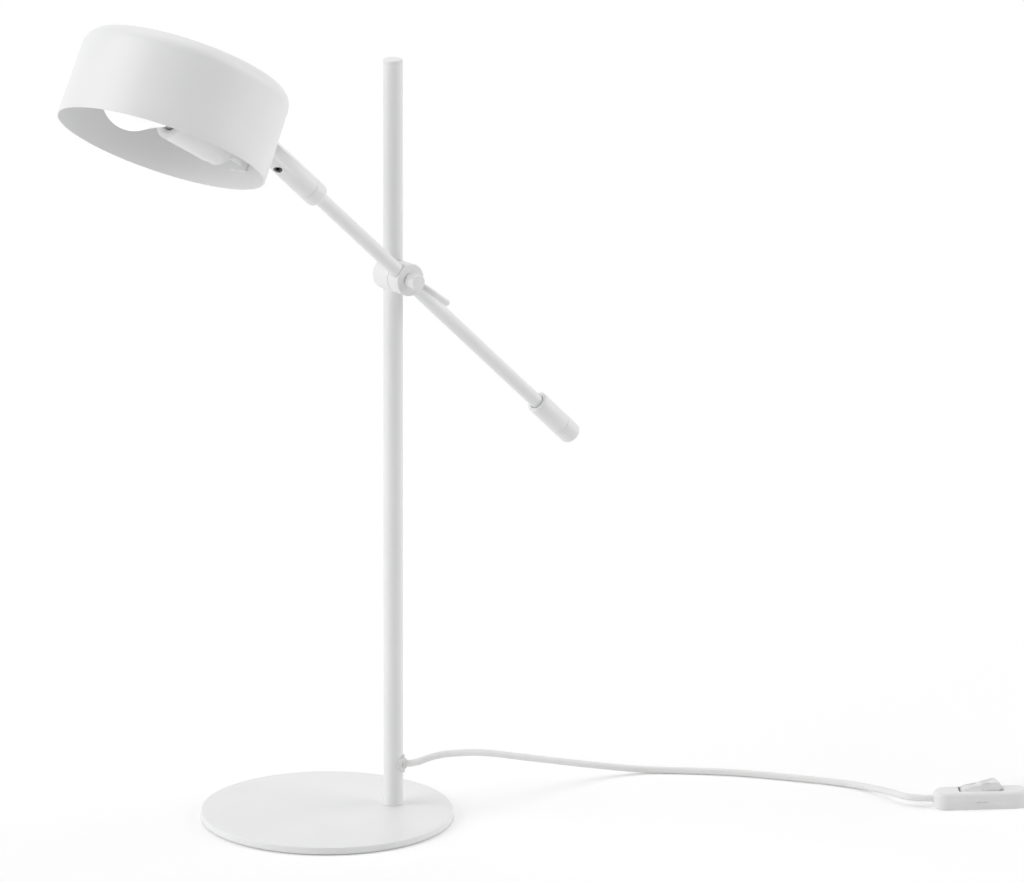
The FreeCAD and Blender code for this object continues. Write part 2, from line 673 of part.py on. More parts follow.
def make_holder_bracket():
    """Strap on the inside of the shade's wall, curved to it, that carries the lampholder."""
    plate = box(bracket_inner_x, inside_x + 1, -8, 8, bulb_z - 9, lug_screw_height + 4)
    room = shade_form(shade_wall)
    room.translate(shade_axis)
    plate = plate.common(room)
    plate = plate.cut(cylinder(nipple_hole_radius, Vector(0, 0, bulb_z), -X, 40))
    plate = plate.cut(cylinder(inner_lead_radius + 0.6, Z * lug_lead_height, -X, 40))
    for side in (-1, 1):
        plate = plate.cut(cylinder(lug_screw_radius + 0.1, Z * side * lug_screw_height, -X, 40))
    save("lampholder_bracket", plate, head_frame)

    screws = []
    for side in (-1, 1):
        at = Z * side * lug_screw_height
        shank = cylinder(lug_screw_radius, at + X * (-hinge_to_shade + 1.3), -X, bracket_thickness + shade_wall + 1.3)
        head = cylinder(2.3, at + X * bracket_inner_x, -X, 1.8).cut(
            hexagon(2.0, at + X * (bracket_inner_x - 0.9), -X, 1.5))
        screws.append(shank.fuse(head))
    save("bracket_screws", Part.makeCompound(screws), head_frame)


nipple_hole_radius = 5.0
holder_back = -hinge_to_shade - 17.0
bulb_centre = Vector(shade_axis.x - bulb_centre_past_axis, 0, bulb_z)
bulb_tip_x = bulb_centre.x - bulb_diameter / 2
cap_end_x = bulb_tip_x + bulb_length
cap_shell_back = cap_end_x - 2.5
cap_shell_front = cap_shell_back - (bulb_cap_length - 2.5)
holder_front = cap_shell_front + 5.5
cover_length = 15.0


def along_holder(points):
    """Turned about the lampholder's axis from (radius, x) points, x running towards the hinge."""
    return turned(points, Vector(0, 0, bulb_z), X)


def make_lampholder():
    nipple = tube(nipple_hole_radius - snug_gap, nipple_hole_radius - 1.4, Vector(bracket_inner_x + 1.0, 0, bulb_z),
                  -X, bracket_inner_x + 1.0 - holder_back + 6)
    save("lampholder_nipple", nipple, head_frame)
    joint = holder_back - cover_length
    cover = along_holder([(nipple_hole_radius + snug_gap, holder_back), (9.0, holder_back),
                          (holder_radius - 0.6, holder_back - 6), (holder_radius - 0.6, joint),
                          (holder_radius - 2.4, joint), (holder_radius - 2.4, holder_back - 5),
                          (nipple_hole_radius + snug_gap, holder_back - 3)])
    lead_entry = cylinder(inner_lead_radius + 0.3, Vector(lead_entry_x, 0, bulb_z), Z, holder_radius + 2)
    save("lampholder_cover", cover.cut(lead_entry), head_frame)
    body = along_holder([(3.0, joint), (holder_radius, joint), (holder_radius, holder_front),
                         (shell_radius + 0.9, holder_front), (shell_radius + 0.9, contact_x),
                         (3.0, contact_x)])
    save("lampholder_body", body, head_frame)
    shell = along_holder([(shell_radius, contact_x - 1.0), (shell_radius + 0.8, contact_x - 1.0),
                          (shell_radius + 0.8, holder_front + 2.5), (shell_radius, holder_front + 2.5)])
    save("lampholder_shell", shell, head_frame)
    contact = along_holder([(0, contact_x + 4), (2.9, contact_x + 4), (2.9, contact_x - 0.2), (0, cap_end_x + 0.2)])
    save("lampholder_contact", contact, head_frame)


lead_entry_x = holder_back - 9.0
shell_radius = bulb_cap_radius + 0.35
contact_x = cap_end_x + 1.6


def make_bulb():
    """Opal golf-ball bulb: a thin glass ball with a drawn-in neck, on a screw cap."""
    ball, neck = bulb_diameter / 2, bulb_cap_radius + 1.2
    meet = 35.0          # half angle of the neck's opening in the ball
    joint_x = bulb_centre.x + ball * math.cos(math.radians(meet))
    joint_r = ball * math.sin(math.radians(meet))
    neck_x = cap_shell_front - 0.3

    def profile(inset):
        r = ball - inset
        first = Vector(0, 0, bulb_centre.x - r)
        side = Vector(r, 0, bulb_centre.x)
        far = Vector(joint_r - inset * joint_r / ball, 0, joint_x - inset * (joint_x - bulb_centre.x) / ball)
        half = math.radians(90 - (90 - meet) / 2)
        on_way = Vector(r * math.sin(half), 0, bulb_centre.x + r * math.cos(half))
        early = Vector(r * math.sin(math.radians(45)), 0, bulb_centre.x - r * math.cos(math.radians(45)))
        end = Vector(neck - inset, 0, neck_x)
        return first, early, side, on_way, far, end

    o, i = profile(0), profile(0.9)
    edges = [Part.Arc(o[0], o[1], o[2]), Part.Arc(o[2], o[3], o[4]), Part.LineSegment(o[4], o[5]),
             Part.LineSegment(o[5], i[5]), Part.LineSegment(i[5], i[4]), Part.Arc(i[4], i[3], i[2]),
             Part.Arc(i[2], i[1], i[0]), Part.LineSegment(i[0], o[0])]
    glass = Part.Face(Part.Wire([e.toShape() for e in edges])).revolve(Vector(), Z, 360)
    glass.Placement = Placement(Vector(0, 0, bulb_z), Rotation(Z, X))
    save("bulb_glass", glass, head_frame)
    cap = along_holder([(0, cap_end_x), (2.4, cap_end_x), (4.6, cap_shell_back), (bulb_cap_radius, cap_shell_back),
                        (bulb_cap_radius, cap_shell_front), (bulb_cap_radius - 1.0, cap_shell_front),
                        (bulb_cap_radius - 1.0, cap_shell_back - 2), (0, cap_shell_back - 2)])
    save("bulb_cap", cap, head_frame)


def make_head_lead():
    """The inner lead through the lug and the shade's wall, then down into the lampholder's cover."""
    start = Vector(math.sqrt(lug_radius ** 2 - lug_lead_height ** 2) - 0.2, 0, lug_lead_height)
    end = Vector(lead_entry_x, 0, bulb_z + holder_radius - 2.0)
    first = Vector(lead_entry_x + 12, 0, lug_lead_height + 0.4)
    points = [start, first, Vector(lead_entry_x + 2.2, 0, lug_lead_height - 1.2),
              Vector(lead_entry_x, 0, lug_lead_height - 3.8), end]
    save("inner_lead_head", lead_tube("inner_lead_head", points, inner_lead_radius), head_frame)


# Switch on the lead, in a frame at its first end whose X runs along the lead

case_split = switch_start.z
case_wall = 1.6
lead_entry_depth = 9.0   # how far each lead reaches into the switch


def stadium(length, width, z0, z1, inset=0.0):
    """A bar with half-round ends, from x = 0 to length."""
    r = width / 2
    lines = [Part.LineSegment(Vector(r, -r + inset, 0), Vector(length - r, -r + inset, 0)),
             Part.Arc(Vector(length - r, -r + inset, 0), Vector(length - inset, 0, 0),
                      Vector(length - r, r - inset, 0)),
             Part.LineSegment(Vector(length - r, r - inset, 0), Vector(r, r - inset, 0)),
             Part.Arc(Vector(r, r - inset, 0), Vector(inset, 0, 0), Vector(r, -r + inset, 0))]
    face = Part.Face(Part.Wire([line.toShape() for line in lines]))
    solid = face.extrude(Z * (z1 - z0))
    solid.translate(Z * z0)
    return solid


rocker_pin_z = 9.5
rocker_pin_radius = 1.2
rocker_end_round = 5.5


def domed_bar(top, inset):
    """Upper half of the case's outer shape with its top edge rounded, drawn in by inset."""
    bar = stadium(switch_length, switch_width, case_split, top, inset)
    return bar.makeFillet(switch_edge_round - inset, [e for e in bar.Edges if abs(e.BoundBox.ZMin - top) < 1e-6])


def make_switch():
    middle = switch_length / 2
    entry = cylinder(lead_radius + snug_gap, Vector(-1, 0, switch_start.z), X, switch_length + 2)
    lower = stadium(switch_length, switch_width, 0, case_split)
    lower = lower.cut(stadium(switch_length, switch_width, case_wall, case_split + 1, case_wall)).cut(entry)
    latch = box(middle - 4.2, middle + 4.2, -switch_width / 2 - 1, -switch_width / 2 + 0.5, 5.2, 6.0)
    lower = lower.cut(latch)
    posts = []
    for x in screw_stations:
        lower = lower.cut(cylinder(2.6, Vector(x, 0, -1), Z, 1 + 1.0))
        post = tube(2.2, screw_radius + 0.1, Vector(x, 0, case_wall), Z, case_split - case_wall - 0.1)
        lower = lower.cut(cylinder(screw_radius + 0.1, Vector(x, 0, -1), Z, 5))
        posts.append(post)
    save("switch_lower_case", lower.fuse(posts), switch_frame)

    upper = domed_bar(switch_height, 0).cut(domed_bar(switch_height - case_wall, case_wall)).cut(entry)
    half_l, half_w = rocker_length / 2 + 0.6, rocker_width / 2 + 0.3
    upper = upper.cut(box(middle - half_l, middle + half_l, -half_w, half_w, case_split, switch_height + 1))
    ears = []
    for side in (-1, 1):
        y0, y1 = sorted((side * (rocker_width / 2 + 0.4), side * (switch_width / 2 - case_wall + 0.2)))
        ears.append(box(middle - 3, middle + 3, y0, y1, case_split + 0.1, switch_height - case_wall + 0.2))
    upper = upper.fuse(ears)
    pin_hole = cylinder(rocker_pin_radius + running_gap, Vector(middle, -rocker_width / 2 - 1.8, rocker_pin_z), Y,
                        rocker_width + 3.6)
    upper = upper.cut(pin_hole)
    save("switch_upper_case", upper.removeSplitter(), switch_frame)

    screws = [cylinder(2.4, Vector(x, 0, 0.2), Z, 0.8).fuse(
        cylinder(screw_radius, Vector(x, 0, 1.0), Z, case_split - 2.0)).cut(
        box(x - 2, x + 2, -0.3, 0.3, 0.1, 0.6)) for x in screw_stations]
    save("switch_screws", Part.makeCompound(screws), switch_frame)


screw_stations = (14.0, switch_length - 14.0)


def make_rocker():
    """Rocker with a shallow V top, pressed down at the lamp's side. Its pins turn in the case's ears."""
    middle, half = switch_length / 2, rocker_length / 2
    top = rocker_top + half * math.tan(math.radians(rocker_dip))
    outline = [Vector(-half, 0, top), Vector(0, 0, rocker_top), Vector(half, 0, top),
               Vector(half - 0.8, 0, rocker_pin_z + 0.6), Vector(3.5, 0, rocker_pin_z - 2.6),
               Vector(-3.5, 0, rocker_pin_z - 2.6), Vector(-half + 0.8, 0, rocker_pin_z + 0.6)]
    body = Part.Face(Part.makePolygon(outline + [outline[0]])).extrude(Y * rocker_width)
    body.translate(Y * (-rocker_width / 2))
    long_edges = [e for e in body.Edges if abs(e.BoundBox.YLength - rocker_width) < 1e-6
                  and e.BoundBox.ZMin > top - 0.1]
    body = body.makeFillet(rocker_end_round, long_edges)
    pins = cylinder(rocker_pin_radius, Vector(0, -rocker_width / 2 - 1.5, rocker_pin_z), Y, rocker_width + 3)
    body = body.fuse(pins)
    body.rotate(Vector(0, 0, rocker_pin_z), Y, -rocker_angle)
    body.translate(X * middle)
    save("switch_rocker", body, switch_frame)


def make_switch_insides():
    """Contact bars on the case floor, and the clips that hold the lead at each end."""
    middle = switch_length / 2
    bars = [box(middle + side * 8 - 4, middle + side * 8 + 4, -2.5, 2.5, case_wall, case_wall + 3.0)
            for side in (-1, 1)]
    save("switch_contacts", Part.makeCompound(bars), switch_frame)


def lead_end(distance):
    """A point on the lead's line through the switch, distance from the switch's first end."""
    at = switch_frame.multVec(X * distance)
    return Vector(at.x, at.y, switch_start.z)


# Leads on the table

def lamp_lead_points():
    out = Rotation(Z, grommet_heading).multVec(X)
    start = Vector(pole_offset, 0, grommet_height) + out * lead_exit
    chosen = [(84.0, -8.6, 38.7), (98.5, -2.2, 40.4), (117.9, 5.9, 36.4), (147.5, 18.5, 27.6),
              (180.6, 30.2, 17.6), (214.6, 39.6, 9.0), (246.7, 41.2, 2.5), (279.9, 32.0, 2.5),
              (312.1, 17.8, 2.5), (340.0, 1.5, 2.5), (365.5, -15.6, 2.5), (381.0, -33.5, 2.8),
              (391.5, -56.5, 4.0)]
    return ([start, start + out * 13.5] + [Vector(*p) for p in chosen]
            + [lead_end(-22), lead_end(lead_entry_depth)])


coil_low = coil_rest_height + lead_radius
coil_high = coil_low + coil_pitch
coil_lead_in = 47.0      # from the switch to the coil's first end
coil_last_run = 3 * lead_diameter


def coil_start():
    at = lead_end(switch_length + coil_lead_in)
    return Vector(at.x, at.y, coil_low)


def make_mains_lead():
    last = coil_start()
    reach = switch_length + coil_lead_in
    points = [lead_end(switch_length - lead_entry_depth), lead_end(switch_length + 10),
              Vector(lead_end(reach - 18).x, lead_end(reach - 18).y, coil_low), last]
    save("mains_lead", lead_tube("mains_lead", points, lead_radius))


def biarc(p0, t0, p1, t1):
    """Two tangent arcs from p0 with direction t0 to p1 with direction t1."""
    chord, both, square = p1 - p0, t0 + t1, 2 * (1 - t0.dot(t1))
    reach = chord.dot(both)
    d = (-reach + math.sqrt(reach ** 2 + square * chord.dot(chord))) / square
    q0, q1 = p0 + t0 * d, p1 - t1 * d
    joint = (q0 + q1) / 2
    arcs = []
    for start, tip, end in ((p0, q0, joint), (joint, q1, p1)):
        foot = (start + end) / 2
        half_chord, height = (end - start).Length / 2, (tip - foot).Length
        sagitta = half_chord * math.tan(math.atan2(height, half_chord) / 2)
        arcs.append(Part.Arc(start, foot + (tip - foot).normalize() * sagitta, end).toShape())
    return arcs


coil_turns = coil_layer_turns + 0.5 + coil_exit_turns


def coil_point(turn):
    """Centre line after so many turns: in on the lower layer, up in a half turn, out on the upper."""
    middle = coil_layer_turns + 0.25
    radius = coil_start_radius - coil_pitch * (middle - abs(turn - middle))
    climb = min(max((turn - coil_layer_turns) / 0.5, 0.0), 1.0)
    height = coil_low + (coil_high - coil_low) * (1 - math.cos(math.pi * climb)) / 2
    angle = 2 * math.pi * turn - math.pi / 2
    return Vector(radius * math.cos(angle), coil_start_radius + radius * math.sin(angle), height)


def make_coil():
    """One unbroken tube: a straight end, a spiral in, a climb, a spiral out, a straight end."""
    step, tiny = 0.25, 1e-4
    knots = [k * step for k in range(int(round(coil_turns / step)) + 1)]
    centres = [coil_point(t) for t in knots]
    tangents = [(coil_point(t + tiny) - coil_point(t - tiny)).normalize() for t in knots]
    tangents[0] = Vector(X)
    tangents[-1] = Vector(Y)
    first, last = centres[0] - X * lead_diameter, centres[-1] + Y * coil_last_run
    edges = [Part.LineSegment(first, centres[0]).toShape()]
    for k in range(len(knots) - 1):
        edges += biarc(centres[k], tangents[k], centres[k + 1], tangents[k + 1])
    edges.append(Part.LineSegment(centres[-1], last).toShape())
    wire = Part.Wire(edges)
    coil = sweep("lead_coil", wire, lead_radius, X)

    samples = [coil_point(k / 72) for k in range(int(coil_turns * 72) + 1)]
    apart = min((a - b).Length for i, a in enumerate(samples) for b in samples[i + 24:])
    print(f"  lead_coil: least gap to itself {apart - lead_diameter:.2f}")
    start = coil_start()
    frame = Placement(Vector(start.x, start.y, 0), Rotation(Z, switch_heading)).multiply(
        Placement(X * lead_diameter, Rotation()))
    save("lead_coil", coil, frame)
    return frame, last


def make_coil_tie(frame):
    """Flat tie round all the turns, across the coil on the side away from the lamp."""
    low_r = coil_start_radius - coil_pitch * (coil_layer_turns + 0.25) - lead_radius - 0.3
    high_r = coil_start_radius + lead_radius + 0.3
    outer = box(low_r - 0.5, high_r + 0.5, -2.5, 2.5, 0, coil_high + lead_radius + 0.8)
    hollow = box(low_r, high_r, -3, 3, coil_rest_height - 0.1, coil_high + lead_radius + 0.3)
    tie = outer.cut(hollow)
    tie.Placement = Placement(Y * coil_start_radius, Rotation(Z, 60))
    save("coil_tie", tie, frame)


def make_plug(frame, cord_end):
    """Flat two-pin plug lying beside the coil, with a tapered strain relief."""
    at = Placement(cord_end, Rotation(Z, 90))
    relief = Part.makeCone(lead_radius + 0.9, lead_radius + 2.6, relief_length, Vector(), X)
    for k in range(5):
        groove = tube(lead_radius + 4, lead_radius + 1.0 + 0.28 * k, X * (3 + 3.4 * k), X, 1.2)
        relief = relief.cut(groove)
    relief = relief.fuse(cylinder(lead_radius + 0.9, Vector(), X, 2))
    relief.Placement = at
    save("plug_strain_relief", relief, frame)

    back, front = relief_length, relief_length + plug_length
    low, high = -cord_end.z, plug_thickness - cord_end.z
    outline = [(back, -8.5), (back + 9, -9.5), (back + 20, -17.0), (front, -17.5),
               (front, 17.5), (back + 20, 17.0), (back + 9, 9.5), (back, 8.5)]
    corners = [Vector(x, y, low) for x, y in outline]
    body = Part.Face(Part.makePolygon(corners + [corners[0]])).extrude(Z * (high - low))
    body = body.makeFillet(1.6, body.Edges)
    for side in (-1, 1):
        body = body.cut(cylinder(plug_pin_radius + snug_gap, Vector(front - 8, side * plug_pin_spacing / 2, pin_z(low)),
                                 X, 10))
    body.Placement = at
    save("plug_body", body, frame)

    pins = []
    for side in (-1, 1):
        start = Vector(front - 8, side * plug_pin_spacing / 2, pin_z(low))
        pin = cylinder(plug_pin_radius, start, X, 8 + plug_pin_length)
        tip = start + X * (8 + plug_pin_length)
        pins.append(round_circles(pin, plug_pin_radius, 1.2, lambda c: (c - tip).Length < 0.1))
    group = Part.makeCompound(pins)
    group.Placement = at
    save("plug_pins", group, frame)


def pin_z(low):
    return low + plug_thickness / 2


make_base()
make_lower_pole()
make_grommet()
make_leads_in_pole()
make_swivel_stub()
make_clamp_housing()
make_clamp_screws()
make_upper_pole()
make_pivot_bolt()
make_clamp_lead()
make_lever()
make_arm_block()
make_arm_rods()
make_arm_lead()
make_counterweight()
make_collar()
make_neck_barrel()
make_hinge_screw()
make_neck_lead()
make_shade()
make_hinge_lug()
make_holder_bracket()
make_lampholder()
make_bulb()
make_head_lead()
make_switch()
make_rocker()
make_switch_insides()
save("lamp_lead", lead_tube("lamp_lead", lamp_lead_points(), lead_radius))
make_mains_lead()
coil_frame, coil_end = make_coil()
make_coil_tie(coil_frame)
make_plug(coil_frame, coil_end)
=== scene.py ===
import json
import math

import bmesh
import bpy
import numpy as np
from mathutils import Matrix, Vector

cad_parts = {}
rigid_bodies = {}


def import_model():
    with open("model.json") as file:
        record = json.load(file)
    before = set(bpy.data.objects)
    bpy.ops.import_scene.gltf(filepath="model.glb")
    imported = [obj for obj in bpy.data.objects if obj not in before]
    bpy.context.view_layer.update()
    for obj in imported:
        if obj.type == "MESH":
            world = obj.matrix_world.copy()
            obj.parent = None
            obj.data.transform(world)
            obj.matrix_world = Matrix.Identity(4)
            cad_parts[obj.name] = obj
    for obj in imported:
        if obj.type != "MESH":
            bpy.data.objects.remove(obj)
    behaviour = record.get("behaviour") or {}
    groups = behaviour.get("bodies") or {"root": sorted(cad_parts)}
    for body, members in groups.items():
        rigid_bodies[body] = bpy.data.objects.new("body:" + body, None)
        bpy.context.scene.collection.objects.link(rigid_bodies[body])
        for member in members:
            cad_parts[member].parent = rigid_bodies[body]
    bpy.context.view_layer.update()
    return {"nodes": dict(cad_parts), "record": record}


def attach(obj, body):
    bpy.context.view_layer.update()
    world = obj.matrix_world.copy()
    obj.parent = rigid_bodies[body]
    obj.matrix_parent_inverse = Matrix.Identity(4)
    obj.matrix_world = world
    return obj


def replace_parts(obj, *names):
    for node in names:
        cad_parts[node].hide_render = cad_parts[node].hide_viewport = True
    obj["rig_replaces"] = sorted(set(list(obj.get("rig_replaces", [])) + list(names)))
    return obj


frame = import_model()
mm = 0.001
print("frame loaded:", len(frame["nodes"]), "pieces")

# camera
photoView = {"target": (0.12629, -0.03465, 0.27846), "distance": 7.0, "azimuth": -15.343, "elevation": 15.604,
             "roll": 0.157, "lens": 349.0, "sensor": 36.0}


def placeCamera(view):
    # unit vector towards the camera is (sin a cos e, -cos a cos e, sin e)
    a, e, r = (math.radians(view[k]) for k in ("azimuth", "elevation", "roll"))
    back = Vector((math.sin(a) * math.cos(e), -math.cos(a) * math.cos(e), math.sin(e)))
    right = Vector((math.cos(a), math.sin(a), 0))
    up = back.cross(right)
    turnedRight = math.cos(r) * right + math.sin(r) * up
    turnedUp = math.cos(r) * up - math.sin(r) * right
    data = bpy.data.cameras.new("photoCamera")
    data.lens, data.sensor_width, data.sensor_fit = view["lens"], view["sensor"], "HORIZONTAL"
    data.clip_start, data.clip_end = 0.1, 60
    camera = bpy.data.objects.new("photoCamera", data)
    bpy.context.scene.collection.objects.link(camera)
    spot = Vector(view["target"]) + back * view["distance"]
    axes = Matrix((turnedRight, turnedUp, back)).transposed().to_4x4()
    camera.matrix_world = Matrix.Translation(spot) @ axes
    bpy.context.scene.camera = camera


placeCamera(photoView)

# the lamp's own frames, as in the part
pose = {"poleOffset": 48.7, "clampHeight": 396.2, "clampHeading": 22.7, "armOffset": 14.8, "armRise": 42.9,
        "neckSwivel": 9.4, "hingeDistance": 170.2, "shadeTilt": 11.6, "switchStart": (424.4, -88.0, 6.3),
        "switchHeading": -9.6, "switchLength": 69.0, "grommetHeight": 36.4, "grommetHeading": -24.0}


def shift(x, y, z):
    return Matrix.Translation(Vector((x, y, z)) * mm)


def turn(degrees, axis):
    return Matrix.Rotation(math.radians(degrees), 4, axis)


clampFrame = shift(pose["poleOffset"], 0, pose["clampHeight"]) @ turn(pose["clampHeading"], "Z")
armFrame = clampFrame @ shift(0, -pose["armOffset"], 0) @ turn(pose["armRise"], "Y")
neckFrame = armFrame @ turn(-pose["neckSwivel"], "X")
headFrame = neckFrame @ shift(-pose["hingeDistance"], 0, 0) @ turn(-pose["shadeTilt"], "Y")
poleFrame = shift(pose["poleOffset"], 0, 0)
alongX = turn(90, "Y")          # sends a turned form's axis from Z to X
switchFrame = shift(pose["switchStart"][0], pose["switchStart"][1], 0) @ turn(pose["switchHeading"], "Z")

# node groups and finishes


def surfaceGrainGroup():
    # masks that change over a surface: a fine one for bumps and a broad one for tone
    group = bpy.data.node_groups.new("surfaceGrain", "ShaderNodeTree")
    for name, kind, value in (("Fine Scale", "NodeSocketFloat", 900.0),
                              ("Broad Scale", "NodeSocketFloat", 18.0),
                              ("Stretch", "NodeSocketVector", (1.0, 1.0, 1.0))):
        socket = group.interface.new_socket(name, in_out="INPUT", socket_type=kind)
        socket.default_value = value
    for name in ("Fine", "Broad", "Specks"):
        group.interface.new_socket(name, in_out="OUTPUT", socket_type="NodeSocketFloat")
    nodes, links = group.nodes, group.links
    entry, out = nodes.new("NodeGroupInput"), nodes.new("NodeGroupOutput")
    coords = nodes.new("ShaderNodeTexCoord")
    stretch = nodes.new("ShaderNodeVectorMath")
    stretch.operation = "MULTIPLY"
    links.new(coords.outputs["Object"], stretch.inputs[0])
    links.new(entry.outputs["Stretch"], stretch.inputs[1])
    fine, broad, specks = (nodes.new("ShaderNodeTexNoise") for _ in range(3))
    fine.inputs["Detail"].default_value = 3.0
    broad.inputs["Detail"].default_value = 2.0
    specks.inputs["Detail"].default_value = 0.0
    specks.inputs["Roughness"].default_value = 0.2
    for noise, name in ((fine, "Fine Scale"), (broad, "Broad Scale"), (specks, "Fine Scale")):
        links.new(stretch.outputs[0], noise.inputs["Vector"])
        links.new(entry.outputs[name], noise.inputs["Scale"])
    speckRamp = nodes.new("ShaderNodeMapRange")
    speckRamp.inputs["From Min"].default_value = 0.76
    speckRamp.inputs["From Max"].default_value = 0.86
    links.new(specks.outputs["Fac"], speckRamp.inputs["Value"])
    links.new(fine.outputs["Fac"], out.inputs["Fine"])
    links.new(broad.outputs["Fac"], out.inputs["Broad"])
    links.new(speckRamp.outputs["Result"], out.inputs["Specks"])
    return group


grainGroup = surfaceGrainGroup()

finishes = {
    "white_lacquer": {
        "tone": (0.872, 0.876, 0.872), "toneLow": (0.850, 0.856, 0.852),
        "speck": (0.835, 0.84, 0.835), "rough": (0.36, 0.46), "bump": 0.05, "depth": 0.00004,
        "fine": 620, "broad": 22, "coat": 0.12},
    "white_plastic": {
        "tone": (0.872, 0.876, 0.870), "toneLow": (0.850, 0.854, 0.850),
        "speck": (0.82, 0.82, 0.81), "rough": (0.42, 0.56), "bump": 0.10, "depth": 0.00003,
        "fine": 2400, "broad": 60, "coat": 0.0},
    "white_lead": {
        "tone": (0.89, 0.89, 0.885), "toneLow": (0.86, 0.86, 0.855),
        "speck": (0.72, 0.72, 0.71), "rough": (0.40, 0.55), "bump": 0.10, "depth": 0.00005,
        "fine": 1400, "broad": 45, "coat": 0.0},
    "soft_grommet": {
        "tone": (0.82, 0.82, 0.81), "toneLow": (0.77, 0.77, 0.76),
        "speck": (0.70, 0.70, 0.69), "rough": (0.50, 0.66), "bump": 0.12, "depth": 0.00005,
        "fine": 1800, "broad": 80, "coat": 0.0},
    "base_pad": {
        "tone": (0.055, 0.055, 0.056), "toneLow": (0.030, 0.030, 0.031),
        "speck": (0.11, 0.11, 0.11), "rough": (0.75, 0.95), "bump": 0.35, "depth": 0.0002,
        "fine": 1100, "broad": 60, "coat": 0.0},
    "zinc_steel": {
        "tone": (0.66, 0.665, 0.68), "toneLow": (0.52, 0.525, 0.54),
        "speck": (0.40, 0.40, 0.41), "rough": (0.20, 0.36), "bump": 0.06, "depth": 0.00002,
        "fine": 1600, "broad": 150, "coat": 0.0, "metal": 1.0, "stretch": (1, 1, 6)},
    "contact_brass": {
        "tone": (0.80, 0.66, 0.37), "toneLow": (0.62, 0.48, 0.24),
        "speck": (0.40, 0.30, 0.15), "rough": (0.18, 0.34), "bump": 0.06, "depth": 0.00002,
        "fine": 1500, "broad": 120, "coat": 0.0, "metal": 1.0, "stretch": (1, 1, 5)},
    "opal_glass": {
        "tone": (0.965, 0.965, 0.96), "toneLow": (0.95, 0.95, 0.945),
        "speck": (0.93, 0.93, 0.92), "rough": (0.12, 0.20), "bump": 0.02, "depth": 0.00002,
        "fine": 260, "broad": 30, "coat": 0.3, "glow": 0.3},
    # black screw, toned darker than bare steel: partly its own black, partly painted shade of its recess at the
    # neck's end
    "black_screw_painted_shade": {
        "tone": (0.10, 0.10, 0.105), "toneLow": (0.06, 0.06, 0.065),
        "speck": (0.30, 0.30, 0.31), "rough": (0.18, 0.30), "bump": 0.08, "depth": 0.00002,
        "fine": 1600, "broad": 200, "coat": 0.0, "metal": 1.0},
    "friction_washer": {
        "tone": (0.52, 0.52, 0.51), "toneLow": (0.40, 0.40, 0.39),
        "speck": (0.30, 0.30, 0.29), "rough": (0.60, 0.80), "bump": 0.20, "depth": 0.00005,
        "fine": 2600, "broad": 200, "coat": 0.0},
}


def makeFinish(name, look):
    # one Principled surface whose tone, roughness and bump follow the grain masks
    material = bpy.data.materials.new(name)
    material.use_nodes = True
    tree = material.node_tree
    shader = tree.nodes["Principled BSDF"]
    grain = tree.nodes.new("ShaderNodeGroup")
    grain.node_tree = grainGroup
    grain.inputs["Fine Scale"].default_value = look["fine"]
    grain.inputs["Broad Scale"].default_value = look["broad"]
    grain.inputs["Stretch"].default_value = look.get("stretch", (1, 1, 1))
    tones = tree.nodes.new("ShaderNodeMix")
    tones.data_type = "RGBA"
    tones.inputs["A"].default_value = (*look["toneLow"], 1)
    tones.inputs["B"].default_value = (*look["tone"], 1)
    specked = tree.nodes.new("ShaderNodeMix")
    specked.data_type = "RGBA"
    specked.inputs["B"].default_value = (*look["speck"], 1)
    roughness = tree.nodes.new("ShaderNodeMapRange")
    roughness.inputs["From Min"].default_value, roughness.inputs["From Max"].default_value = 0.3, 0.7
    roughness.inputs["To Min"].default_value, roughness.inputs["To Max"].default_value = look["rough"]
    bump = tree.nodes.new("ShaderNodeBump")
    bump.inputs["Strength"].default_value = look["bump"]
    bump.inputs["Distance"].default_value = look["depth"]
    toneRange = tree.nodes.new("ShaderNodeMapRange")
    toneRange.inputs["From Min"].default_value, toneRange.inputs["From Max"].default_value = 0.35, 0.65
    link = tree.links.new
    link(grain.outputs["Broad"], toneRange.inputs["Value"])
    link(toneRange.outputs["Result"], tones.inputs["Factor"])
    link(tones.outputs["Result"], specked.inputs["A"])
    link(grain.outputs["Specks"], specked.inputs["Factor"])
    link(specked.outputs["Result"], shader.inputs["Base Color"])
    link(grain.outputs["Broad"], roughness.inputs["Value"])
    link(roughness.outputs["Result"], shader.inputs["Roughness"])
    link(grain.outputs["Fine"], bump.inputs["Height"])
    link(bump.outputs["Normal"], shader.inputs["Normal"])
    shader.inputs["Metallic"].default_value = look.get("metal", 0.0)
    shader.inputs["Coat Weight"].default_value = look["coat"]
    shader.inputs["Coat Roughness"].default_value = 0.25
    shader.inputs["Emission Color"].default_value = (1, 1, 1, 1)
    shader.inputs["Emission Strength"].default_value = look.get("glow", 0.0)
    return material


materials = {name: makeFinish(name, look) for name, look in finishes.items()}
slotOf = {part["node"]: part["material_slot"] for part in frame["record"]["subparts"]}
bodyOf = {node: body for body, nodes in frame["record"]["behaviour"]["bodies"].items() for node in nodes}
print("finishes made:", len(materials))

# mesh functions


def addPiece(name, mesh, nodes, finish=None, sharpAngle=32):
    # puts a finished mesh in the scene in place of the named nodes, with their body and finish
    finish = finish or slotOf[nodes[0]]
    mesh.shade_smooth()
    mesh.set_sharp_from_angle(angle=math.radians(sharpAngle))
    piece = bpy.data.objects.new(name, mesh)
    bpy.context.scene.collection.objects.link(piece)
    mesh.materials.clear()
    mesh.materials.append(materials[finish])
    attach(piece, bodyOf[nodes[0]])
    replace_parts(piece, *nodes)
    return piece


